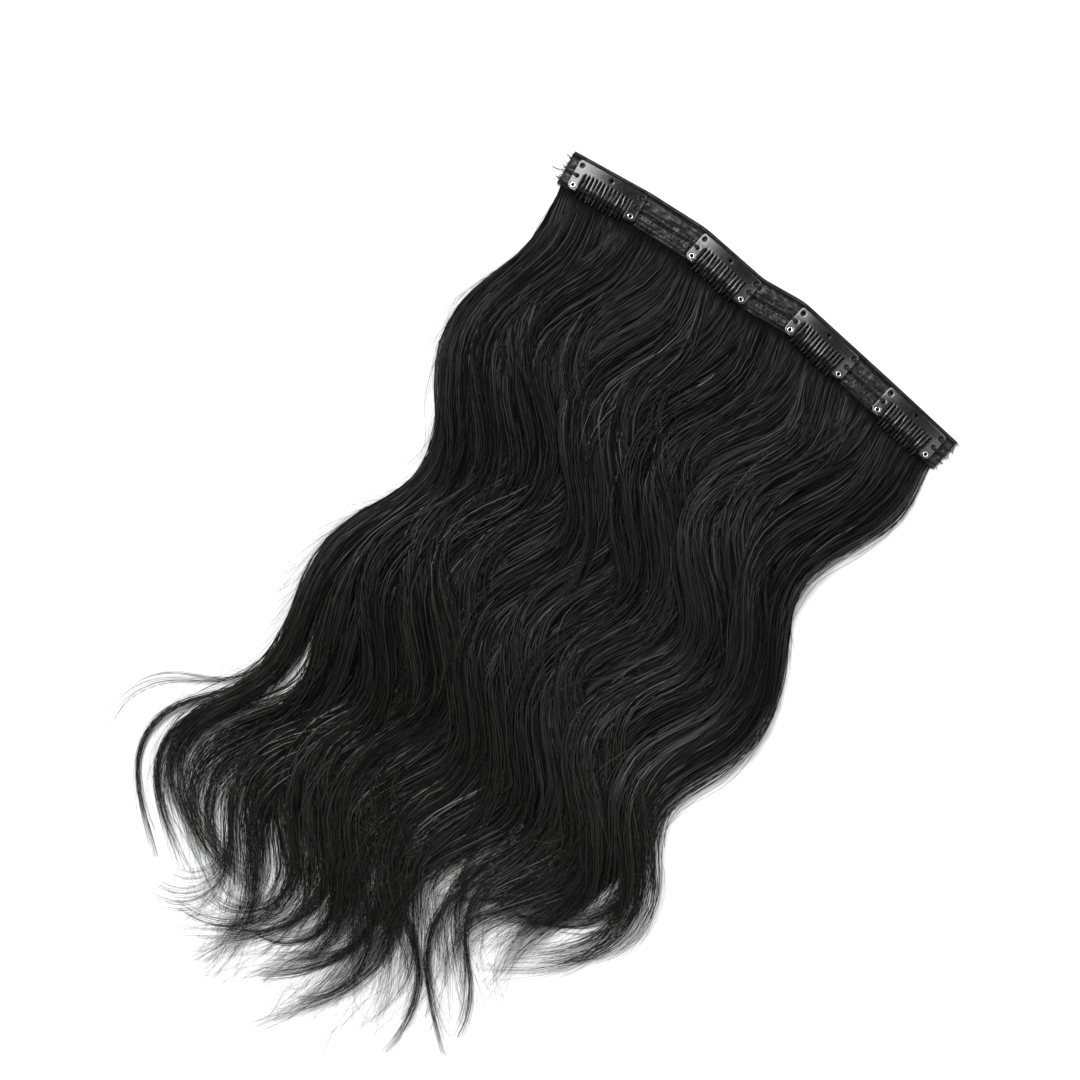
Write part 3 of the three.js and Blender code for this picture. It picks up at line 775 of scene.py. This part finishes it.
def make_mass(material):
    """Depth of the hair under the strands: one closed body for each lock."""
    around, stations = MASS.around, MASS.stations
    angle = np.pi * np.arange(around) / (around - 1)
    across = np.concatenate([np.cos(angle), MASS.underside])[:, None] * MASS.width
    size = len(across)
    points, uv = [], []
    for number in range(len(LOCKS)):
        lock = rows_of(LOCK_VALUES, np.full(size, number))
        narrows, ends = (lock.gathers[0, 0] + past for past in MASS.ends)
        run = np.tile(np.linspace(-1, lock.reach[0, 0] * ends, stations), (size, 1))
        share = run / lock.reach
        narrow = np.maximum(1 - smoothstep(share, narrows, ends), MASS.least)
        level = MASS.level * np.minimum(narrow * MASS.full, 1)
        paths, _ = flow_paths(lock, run, across * narrow, level)
        paths[around:, :, 2] = MASS.floor
        points.append(paths.reshape(-1, 3))
        u = (number + (np.arange(size)[:, None] + 0.5) / size) / len(LOCKS) + 0 * share
        uv.append(np.stack([u, share * 0.9 + 0.01], -1).reshape(-1, 2))
    index = np.arange(len(LOCKS) * size * stations).reshape(-1, size, stations).swapaxes(1, 2)
    faces = [net(index), index[:, 0, ::-1], index[:, -1]]
    piece = add_mesh("hair_mass", np.concatenate(points), faces, material, np.concatenate(uv))
    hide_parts("hair")


# Band

def between_knots(values, place):
    """Values at places between knots, eased from each knot to the next: values has a column for each knot."""
    low = place.astype(int)
    return mix(values[:, low], values[:, low + 1], smoothstep(place - low, 0, 1))


def smooth_noise(at, size, rows=1):
    """Smooth random curves, one value for each place, that change over about size."""
    knots = int(np.ptp(at) / size) + 4
    return between_knots(rng.uniform(-1, 1, (rows, knots)), (at - at.min()) / size)


def stitch_starts(pitch, length):
    """Where the stitches of a row start along the band, a little uneven."""
    start = np.arange(STITCH_MARGIN, BAND_LENGTH - STITCH_MARGIN - length, pitch)[:, None]
    start = start[rng.random(len(start)) < STITCH_KEPT]
    return start + vary(len(start), STITCH_UNEVEN.start * pitch)


STITCHES = [Values(**dict(zip(STITCH_COLUMNS, row)), start=stitch_starts(*row[1:3])) for row in STITCH_ROWS]


def band_surface(distance, below):
    """Height of the band's top: padded and puckered between seams, with a hole at each end of a stitch."""
    near_seam = np.clip(SEAM.strength - np.abs(below - SEAM.below) / SEAM.reach, 0, 1)
    wobble = SEAM.wobble * smooth_noise(distance, SEAM.size)[0][:, None] * near_seam
    top = np.interp(below + wobble, BAND_ACROSS, BAND_TOP)
    knots = np.arange(below.min() - 2, below.max() + 4, PUCKER.across)
    curves = smooth_noise(distance, PUCKER.coarse, len(knots))
    curves = curves + PUCKER.fine_share * smooth_noise(distance, PUCKER.fine, len(knots))
    pucker = between_knots(curves.T, (below - knots[0]) / PUCKER.across)
    for start, end in PANELS:
        share = np.clip((below - start) / (end - start), 0, 1)
        top += np.sin(np.pi * share) ** PUCKER.power * (PUCKER.padding + PUCKER.height * pucker)
    top += EDGE.height * np.clip(1 - np.abs(np.abs(below) - EDGE.out) / EDGE.reach, 0, 1) * pucker
    for row in STITCHES:
        across = np.exp(-((below - row.below) / PIT_SIZE) ** 2)
        for at in (row.start, row.start + row.length):
            along = np.exp(-((distance[None, :] - at) / PIT_SIZE) ** 2).sum(axis=0)
            top -= row.pit * along[:, None] * across[None, :]
    return np.maximum(top, BAND_LEAST)


def band_across():
    """Distances below the centre line of the points across the band's top."""
    rows = []
    for start, end in zip(BAND_ACROSS, BAND_ACROSS[1:]):
        cuts = max(1, math.ceil((end - start) / BAND_STEP))
        rows.append(np.linspace(start, end, cuts + 1)[:-1])
    return np.concatenate(rows + [BAND_ACROSS[-1:]])


def fan(middle, ring):
    """Triangles from a point in the middle to a closed ring."""
    return np.stack([np.full(len(ring), middle), ring, np.roll(ring, -1)], -1)


def make_band(material):
    """Sewn band: a padded strip with a rolled welt and lip, and cut ends that aren't straight."""
    distance = np.linspace(0, BAND_LENGTH, BAND_STATIONS)
    top = band_across()
    underside = np.zeros((BAND_STATIONS, len(BAND_UNDERSIDE)))
    height = np.concatenate([band_surface(distance, top), underside], axis=1)
    below = np.concatenate([top, BAND_UNDERSIDE])
    around = len(below)
    ragged = smooth_noise(np.arange(around).astype(float), RAGGED.size, 2) * RAGGED.depth
    fade = np.exp(-distance / RAGGED.fade)[:, None]
    along = distance[:, None] + (fade * ragged[0] - fade[::-1] * ragged[1])
    x, y = band_point(along, np.broadcast_to(below, height.shape))
    points = np.stack([x, y, height], -1)
    middles = points[[0, -1]].mean(axis=1)
    index = np.arange(height.size).reshape(height.shape)
    caps = np.concatenate([fan(height.size, index[0])[:, [0, 2, 1]], fan(height.size + 1, index[-1])])
    u = along / (BAND_LENGTH + 2) + 0.005
    v = np.broadcast_to(np.arange(around) / around, height.shape)
    uv = np.concatenate([np.stack([u, v], -1).reshape(-1, 2), [[0.001, 0.5], [0.999, 0.5]]])
    faces = [net(index)[:, ::-1], caps[:, ::-1]]
    points = np.concatenate([points.reshape(-1, 3), middles])
    piece = add_mesh("band_tape", points, faces, material, uv)
    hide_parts("band")


def make_stitches(material):
    """Rows of thread along the band: each stitch rises out of one needle hole and dips into the next."""
    paths, radii = [], []
    share = shares(STITCH_ARCH.stations)
    rise = np.sin(np.pi * share)
    lift = STITCH_ARCH.rise * rise ** STITCH_ARCH.power
    for row in STITCHES:
        count = len(row.start)
        turn = np.where(np.arange(count) % 2, 1, -1)[:, None]
        below = row.below + vary(count, STITCH_UNEVEN.below) + row.slant * (share - 0.5) * turn
        z = np.interp(below, BAND_ACROSS, BAND_TOP) - STITCH_ARCH.dip + lift
        paths.append(np.stack([*band_point(row.start + row.length * share, below), z], -1))
        thick = row.thick / 2 * mix(STITCH_ARCH.thin, 1, rise)
        radii.append(thick * between(count, *STITCH_UNEVEN.thick))
    piece = add_thread("band_stitches", np.concatenate(paths), np.concatenate(radii), material, sides=5)
    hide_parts("band")


def make_frays(material):
    """Loose threads at the two cut ends of the band, and longer ends of sewing thread at the left one."""
    share = shares(FRAY.stations)
    paths, radii = [], []
    for end, outward in ((FRAY.inset, -1), (BAND_LENGTH - FRAY.inset, 1)):
        draw = draw_columns(FRAYS, FRAY_DRAWS)
        length = draw.length + FRAY.longest * draw.longer ** 3
        aside = draw.bend * share ** 2 + draw.wave * np.sin(FRAY.waves * share)
        x, y = band_point(end + outward * (length * share - FRAY.root), draw.below + aside)
        z = draw.height + draw.rise * share ** 1.5
        paths.append(np.stack([x, y, np.maximum(z, FRAY.least)], -1))
        radii.append(draw.radius * (1 - FRAY.taper * share))
    for below, length, bend in LOOSE_ENDS:
        bent = below + bend * np.sin(LOOSE_END.bends * share) * share
        x, y = band_point(LOOSE_END.inset - length * share, bent)
        z = LOOSE_END.top - LOOSE_END.fall * smoothstep(share, *LOOSE_END.falls)
        paths.append(np.stack([x, y, z], -1))
        radii.append(LOOSE_END.radius + 0 * share)
    piece = add_thread("band_frays", np.concatenate(paths), np.concatenate(radii), material, sides=4)
    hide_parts("band")


# Clips

def arc(x, y, radius, start, end, steps):
    angle = np.radians(np.linspace(start, end, steps + 1))
    return np.stack([x + radius * np.cos(angle), y + radius * np.sin(angle)], -1)


def fill_in(loop, step):
    """Closed loop with points added, so that none lie further apart than step."""
    rows = []
    for start, end in zip(loop, np.roll(loop, -1, axis=0)):
        cuts = max(1, math.ceil(np.linalg.norm(end - start) / step))
        rows.append(start + (end - start) * np.arange(cuts)[:, None] / cuts)
    return np.concatenate(rows)


def inset_loop(loop, distance):
    """Closed loop moved to its left by a distance."""
    along = unit(np.roll(loop, -1, axis=0) - loop)
    left = np.stack([-along[:, 1], along[:, 0]], -1)
    before = np.roll(left, 1, axis=0)
    corner = (left + before) / (1 + np.sum(left * before, axis=1, keepdims=True))
    return loop + distance * corner


def inside(points, loops):
    """Points that lie within an odd number of the loops."""
    odd = np.zeros(len(points), bool)
    for loop in loops:
        x0, y0 = loop.T
        x1, y1 = np.roll(loop, -1, axis=0).T
        px, py = points[:, :1], points[:, 1:]
        crosses = (y0 > py) != (y1 > py)
        with np.errstate(divide="ignore", invalid="ignore"):
            reach = x0 + (py - y0) * (x1 - x0) / (y1 - y0)
        odd ^= (np.sum(crosses & (px < reach), axis=1) % 2).astype(bool)
    return odd


def rounded_sheet(loops, inner, height, thick):
    """Sheet of metal inside loops, with rounded edges: points and arrays of faces.

    The first loop runs anticlockwise round the outline and the others clockwise round holes. inner are points
    between them, and height gives the underside.
    """
    rim = [inset_loop(loop, EDGE_ROUND) for loop in loops]
    flat = np.concatenate(rim + [inner])
    starts = np.cumsum([0] + [len(loop) for loop in loops])
    edges = []
    for start, loop in zip(starts, loops):
        index = start + np.arange(len(loop))
        edges += zip(index.tolist(), np.roll(index, -1).tolist())
    found = delaunay_2d_cdt([Vector(p) for p in flat], edges, [], 0, 1e-6)
    flat = np.array([tuple(v) for v in found[0]])
    triangles = np.array(found[2])
    triangles = triangles[inside(flat[triangles].mean(axis=1), rim)]
    count = len(flat)
    under = height(flat)
    points = [np.column_stack([flat, under + thick]), np.column_stack([flat, under])]
    rings = [
        (EDGE_SOFT, EDGE_SOFT), (0, EDGE_ROUND), (0, thick - EDGE_ROUND), (EDGE_SOFT, thick - EDGE_SOFT),
    ]
    walls = []
    base = 2 * count
    for start, loop in zip(starts, loops):
        size = len(loop)
        index = [start + np.arange(size)]
        for inset, drop in rings:
            ring = inset_loop(loop, inset)
            points.append(np.column_stack([ring, height(ring) + thick - drop]))
            index.append(base + np.arange(size))
            base += size
        index.append(count + start + np.arange(size))
        walls.append(net(np.array(index))[:, [0, 3, 2, 1]])
    return np.concatenate(points), [np.concatenate(walls), triangles, triangles[:, ::-1] + count]


def uneven_teeth():
    """Random sideways lean, length and twist of each tooth of a comb."""
    teeth = Values()
    for name, spread in TOOTH_SPREAD.items():
        setattr(teeth, name, rng.normal(0, spread, COMB.teeth).clip(-2 * spread, 2 * spread))
    return teeth


def softened(at, places, heights, steps=320, reach=6):
    """Heights between places on a line, with the corners rounded off."""
    fine = np.linspace(0, places[-1] + 1, steps)
    return np.interp(at, fine, moving_mean(np.interp(fine, places, heights), reach))


def comb_height(flat, teeth=None):
    """Underside of a comb plate above the band's face.

    The plate is bowed, legs and teeth rise from a strip along its top, and the teeth bend down over the bar.
    """
    x = flat[:, 0]
    depth = COMB.top - flat[:, 1]
    bow = COMB.bow * (1 - (x / COMB.half) ** 2)
    strip, bend, knee, tip = COMB.strip, COMB.bend, COMB.knee, COMB.tip
    at_bend, at_tip = (COMB.strip_lift + LEG_RISE * (place - strip) for place in (bend, tip))
    lifts = [COMB.lift, COMB.strip_lift, at_bend, at_bend - COMB.knee_drop, COMB.tip_lift]
    drop = softened(depth, [0, strip, bend, knee, tip], lifts)
    toothed = drop + bow * softened(depth, [0, knee, tip], [1, 1, 0])
    if teeth is not None:
        number = np.round((x + COMB.inner - COMB_SLOT - COMB.tooth / 2) / COMB_PITCH)
        number = np.clip(number, 0, COMB.teeth - 1).astype(int)
        from_middle = x - (-COMB.inner + COMB_SLOT + COMB.tooth / 2 + number * COMB_PITCH)
        toothed = toothed + teeth.twist[number] * from_middle * smoothstep(depth, COMB.slot_depth, bend)
    plate = softened(depth, [0, strip, tip], [COMB.lift, COMB.strip_lift, at_tip]) + bow
    return np.where(np.abs(x) < COMB.inner - 0.1, toothed, plate)


def comb_outline(teeth):
    """Outline of the plate, anticlockwise: left leg, teeth and slots, right leg and the top edge."""
    half, inner, top = COMB.half, COMB.inner, COMB.top
    leg = top - COMB.leg
    outer_round, inner_round, top_round = COMB_ROUND.outer, COMB_ROUND.inner, COMB_ROUND.top
    tip_round = COMB.tip_width / 2
    slot_top = top - COMB.slot_depth - COMB_SLOT / 2
    knee = top - COMB.knee
    rows = [
        arc(outer_round - half, leg + outer_round, outer_round, 180, 270, 8),
        arc(-inner - inner_round, leg + inner_round, inner_round, 270, 360, 4),
    ]
    for number in range(COMB.teeth + 1):
        left = -inner + number * COMB_PITCH
        rows.append(arc(left + COMB_SLOT / 2, slot_top, COMB_SLOT / 2, 180, 0, 6))
        if number < COMB.teeth:
            aside = teeth.aside[number]
            tip = top - COMB.tip + teeth.length[number]
            near, far = left + COMB_SLOT, left + COMB_PITCH
            rows.append(np.array([[near + aside * 0.5, knee]]))
            rows.append(arc((near + far) / 2 + aside, tip + tip_round, tip_round, 180, 360, 6))
            rows.append(np.array([[far + aside * 0.5, knee]]))
    rows += [
        arc(inner + inner_round, leg + inner_round, inner_round, 180, 270, 4),
        arc(half - outer_round, leg + outer_round, outer_round, 270, 360, 8),
        arc(half - top_round, top - top_round, top_round, 0, 90, 6),
        arc(top_round - half, top - top_round, top_round, 90, 180, 6),
    ]
    return fill_in(np.concatenate(rows), EDGE_STEP)


def comb_sheet():
    """Comb plate of one clip, with holes and uneven teeth."""
    teeth = uneven_teeth()
    rivets = [(out, RIVET_DEPTH, RIVET_HOLE) for out in (-RIVET_OUT, RIVET_OUT)]
    loops = [comb_outline(teeth)]
    for out, depth, radius in PLAIN_HOLES + SEWING_HOLES + rivets:
        loops.append(arc(out, COMB.top - depth, radius, 360, 0, HOLE_STEPS)[:-1])
    half, step = COMB_GRID.half, COMB_GRID.step
    x = np.arange(-half, half + 0.1, step)
    y = np.arange(COMB.top - COMB_GRID.depth, COMB.top, step)
    grid = np.stack(np.meshgrid(x, y), -1).reshape(-1, 2)
    grid = grid[inside(grid, loops)]
    edge = np.concatenate(loops)
    apart = np.sqrt(((grid[:, None] - edge[None]) ** 2).sum(-1)).min(axis=1)
    inner = grid[apart > COMB_GRID.clear]
    return rounded_sheet(loops, inner, lambda flat: comb_height(flat, teeth), COMB.sheet)


def bar_sheet():
    """Bar under the teeth: a flat strip with a round eye at each rivet."""
    y = COMB.top - RIVET_DEPTH
    neck = math.degrees(math.asin(BAR.width / 2 / BAR.eye))
    outline = np.concatenate([
        arc(RIVET_OUT, y, BAR.eye, neck - 180, 180 - neck, HOLE_STEPS),
        arc(-RIVET_OUT, y, BAR.eye, neck, 360 - neck, HOLE_STEPS),
    ])
    loops = [fill_in(outline, BAR.step)]
    loops += [arc(out, y, RIVET_HOLE, 360, 0, HOLE_STEPS)[:-1] for out in (-RIVET_OUT, RIVET_OUT)]
    return rounded_sheet(loops, np.zeros((0, 2)), lambda flat: np.full(len(flat), BAR.lift), BAR.sheet)


def rivet_lathe(out):
    """Rolled eyelet that stands square on the tilted plate."""
    radius, rise = np.array(RIVET_PROFILE).T
    angle = 2 * np.pi * np.arange(RIVET_SEGMENTS)[:, None] / RIVET_SEGMENTS
    x, y = radius * np.cos(angle), radius * np.sin(angle)
    points = np.stack([x, y, np.broadcast_to(rise, x.shape)], -1).reshape(-1, 3)
    index = np.arange(x.size).reshape(x.shape)
    faces = net(np.concatenate([index, index[:1]]))
    lean = COMB.bow * 2 * out / COMB.half ** 2
    normal = unit(np.array([lean, LEG_RISE, 1.0]))
    side = unit(np.cross([0.0, 1.0, 0.0], normal))
    axes = np.stack([side, np.cross(normal, side), normal])
    seat = np.array([out, COMB.top - RIVET_DEPTH])
    plate_top = comb_height(seat[None])[0] + COMB.sheet
    return points @ axes + [*seat, plate_top], [faces]


def soft_path(corners, stations, steps=60, reach=5):
    """Smooth path through a few corners."""
    corners = np.array(corners, float)
    fine = np.linspace(0, len(corners) - 1, steps + 1)
    columns = [np.interp(fine, np.arange(len(corners)), column) for column in corners.T]
    soft = np.stack([moving_mean(column, reach) for column in columns], -1)
    return soft[np.linspace(0, steps, stations).round().astype(int)]


def clip_threads():
    """Threads that sew a clip on: from each sewn hole over the plate's end, down to the band."""
    paths = []
    strands = CLIP_THREAD.strands
    near, far = CLIP_THREAD.fan
    for out, depth, radius in SEWING_HOLES:
        hole = np.array([out, COMB.top - depth])
        towards = np.array([np.sign(out), 0.0])
        reach = COMB.half - abs(out) + CLIP_THREAD.past
        top = comb_height(hole[None])[0] + COMB.sheet
        for strand in range(strands):
            shift = np.array([0.0, (strand - (strands - 1) / 2) * CLIP_THREAD.apart])
            shift = shift + rng.normal(0, CLIP_THREAD.uneven, 2)
            start = hole - towards * radius * rng.uniform(*CLIP_THREAD.start) + shift * near
            edge = hole + towards * (reach - CLIP_THREAD.edge) + shift
            land = hole + towards * (reach + rng.uniform(*CLIP_THREAD.land)) + shift * far
            corners = [
                [*start, top - 0.9], [*(start + towards * 0.2), top + 0.05],
                [*((start + edge) / 2), top + 0.18], [*edge, top + 0.1],
                [*(edge + towards * 0.45), top - 0.3], [*land, 0.0], [*land, -0.35],
            ]
            paths.append(soft_path(corners, CLIP_THREAD.stations))
    return np.array(paths)


def place_clip(points, run_number):
    """Points of a clip moved to its place on the band: y = 0 is the band's centre line, z = 0 its face."""
    length, heading = BAND_RUNS[run_number]
    turn = math.radians(heading)
    x0, y0 = band_point(RUN_STARTS[run_number] + length / 2, 0)
    x, y, z = np.moveaxis(points, -1, 0)
    placed_x = x0 + x * math.cos(turn) - y * math.sin(turn)
    placed_y = y0 + x * math.sin(turn) + y * math.cos(turn)
    return np.stack([placed_x, placed_y, z + BAND_FACE], -1)


def flat_map(points):
    """Map of a piece seen from above, in its own box."""
    low = points[:, :2].min(axis=0)
    size = np.ptp(points[:, :2], axis=0).max()
    return 0.01 + 0.98 * (points[:, :2] - low) / size


def make_clips(paint, shaded_bar_paint, plating, thread):
    bar = bar_sheet()
    for number, run_number in enumerate(CLIP_RUNS, 1):
        shapes = [("comb", comb_sheet(), paint, "clip_paint"), ("bar", bar, shaded_bar_paint, "clip_paint")]
        for side, out in (("left", -RIVET_OUT), ("right", RIVET_OUT)):
            shapes.append((f"rivet_{side}", rivet_lathe(out), plating, "rivet_plate"))
        for name, (points, faces), material, slot in shapes:
            node = f"clip_{number}_{name}"
            placed = place_clip(points, run_number)
            piece = add_mesh(f"{node}_fine", placed, faces, material, flat_map(points))
            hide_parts(node)
        paths = place_clip(clip_threads(), run_number)
        radius = np.full(paths.shape[:2], CLIP_THREAD.radius)
        add_thread(f"clip_{number}_threads", paths, radius, thread, sides=6)


# Studio

def make_studio():
    scene = bpy.context.scene
    scene.view_settings.view_transform = "Standard"
    world = bpy.data.worlds.new("studio")
    world.use_nodes = True
    set_inputs(world.node_tree.nodes["Background"], Color=(1, 1, 1, 1), Strength=WORLD_STRENGTH)
    scene.world = world
    mesh = bpy.data.meshes.new("floor")
    corners = [(x * FLOOR_HALF, y * FLOOR_HALF, 0) for x, y in ((-1, -1), (1, -1), (1, 1), (-1, 1))]
    mesh.from_pydata(corners, [], [(0, 1, 2, 3)])
    mesh.materials.append(new_material("floor", Base_Color=(0.95, 0.95, 0.95, 1), Roughness=0.8)[0])
    floor = bpy.data.objects.new("floor", mesh)
    scene.collection.objects.link(floor)
    for name, right, up, tilt, power, size in SOFTBOXES:
        light = bpy.data.lights.new(name, "AREA")
        light.energy = power
        light.size = size
        lamp = bpy.data.objects.new(name, light)
        lean = math.radians(tilt)
        towards = Vector(IMAGE_RIGHT) * right + Vector(IMAGE_UP) * up
        offset = (towards * math.sin(lean) + Vector((0, 0, 1)) * math.cos(lean)) * LAMP_AWAY
        lamp.location = Vector(LAMP_AIM) + offset
        lamp.rotation_euler = offset.to_track_quat("Z", "Y").to_euler()
        scene.collection.objects.link(lamp)


def make_camera():
    camera = bpy.data.cameras.new("camera")
    camera.lens = CAMERA_LENS
    holder = bpy.data.objects.new("camera", camera)
    holder.location = (*VIEW_MIDDLE, VIEW_WIDTH * CAMERA_LENS / camera.sensor_width)
    holder.rotation_euler = (0, 0, VIEW_TURN)
    bpy.context.scene.collection.objects.link(holder)
    bpy.context.scene.camera = holder


make_camera()
make_studio()
hair = hair_material()
make_mass(shaded_core_material())
make_strands(hair)
make_flyaways(hair)
thread = thread_material()
make_band(cloth_material())
make_stitches(thread)
make_frays(thread)
paint = paint_material("clip_paint", 0.4, 0.2)
# The bar's paint is a duller copy of the clip paint: painted shade under the teeth
shaded_bar_paint = paint_material("shaded_bar_paint", 0.15, 0.5)
make_clips(paint, shaded_bar_paint, plating_material(), thread)
